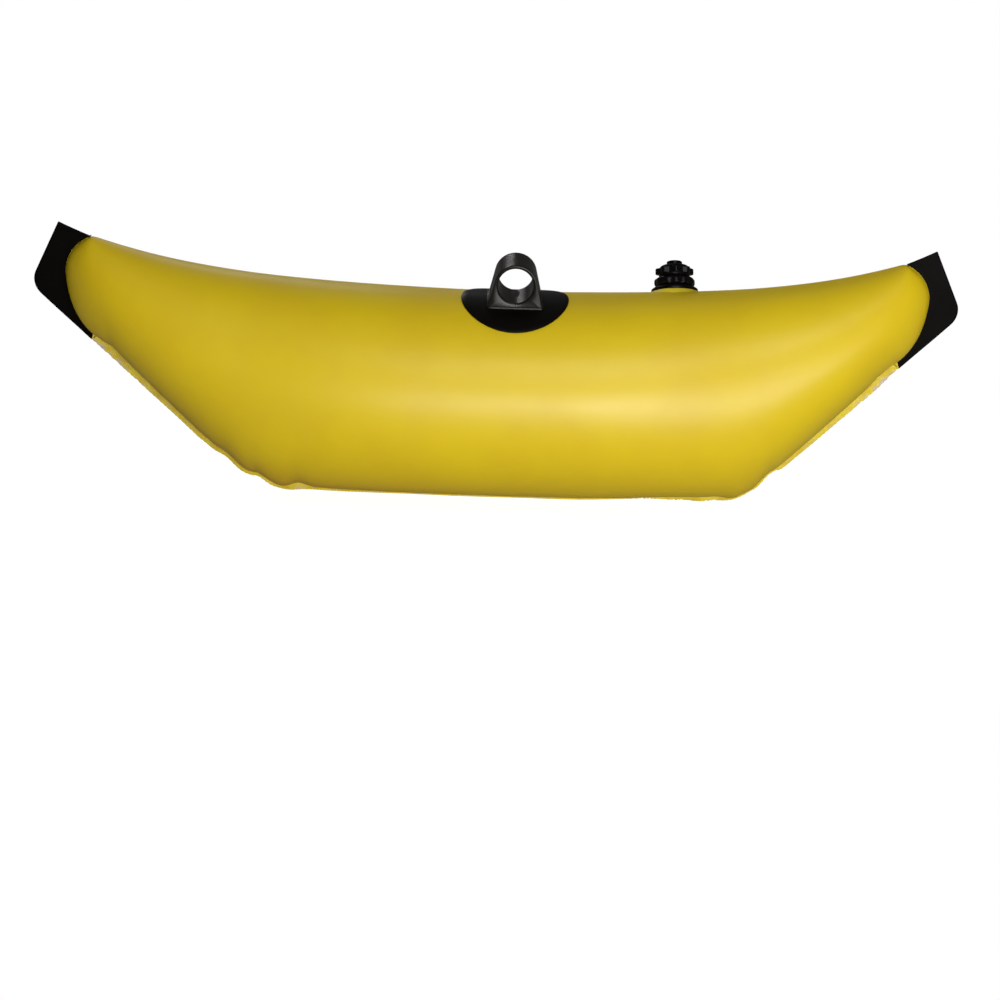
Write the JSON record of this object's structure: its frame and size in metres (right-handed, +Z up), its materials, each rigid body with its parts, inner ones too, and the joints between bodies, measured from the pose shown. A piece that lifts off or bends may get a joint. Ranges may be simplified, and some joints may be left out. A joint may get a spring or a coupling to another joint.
{
  "type": "kayak outrigger float",
  "caption": "Inflatable outrigger float for a kayak, with welded end tabs, a moulded socket for the outrigger's pole and a screw valve.",
  "frame": {"origin": "under the middle of the float, at the level of the weld flange's lowest edge", "axes": "+X along the float towards the stern end, where the valve is, +Y across it, away from the front, +Z up"},
  "size_m": [0.9488, 0.214, 0.2929],
  "materials": {
    "yellow_film": "satin",
    "black_film": "satin",
    "black_moulding": "satin",
    "seal_rubber": "matte"
  },
  "bodies": {
    "float": {"float_skin": "yellow_film", "bow_end_cover": "black_film", "stern_end_cover": "black_film", "socket_patch": "black_film", "pole_socket": "black_moulding", "valve_patch": "yellow_film", "valve_base": "black_moulding"},
    "seal_ring": {"insert_seal": "seal_rubber"},
    "insert": {"valve_insert": "black_moulding"},
    "flap": {"check_flap": "seal_rubber"},
    "cap_ring": {"cap_seal": "seal_rubber"},
    "cap": {"valve_cap": "black_moulding"}
  },
  "joints": [
    {"name": "insert_lift", "type": "slide", "parent": "float", "child": "seal_ring", "axis": [-0.0301, 0.5151, 0.8566], "range_m": [0, 0.0045]},
    {"name": "insert_turn", "type": "hinge", "parent": "seal_ring", "child": "insert", "pos_m": [0.186, 0.04897, 0.22051], "axis": [-0.0301, 0.5151, 0.8566], "range_deg": [0, 540]},
    {"name": "flap_slide", "type": "slide", "parent": "insert", "child": "flap", "axis": [0.0301, -0.5151, -0.8566], "range_m": [0, 0.002], "stiffness_N_per_m": 20},
    {"name": "cap_lift", "type": "slide", "parent": "insert", "child": "cap_ring", "axis": [-0.0301, 0.5151, 0.8566], "range_m": [0, 0.00375]},
    {"name": "cap_turn", "type": "hinge", "parent": "cap_ring", "child": "cap", "pos_m": [0.186, 0.04897, 0.22051], "axis": [-0.0301, 0.5151, 0.8566], "range_deg": [0, 540]}
  ],
  "couplings": [
    {"joint": "insert_turn", "follows": "insert_lift", "rad_per_m": 2094.4},
    {"joint": "cap_turn", "follows": "cap_lift", "rad_per_m": 2513.3}
  ]
}
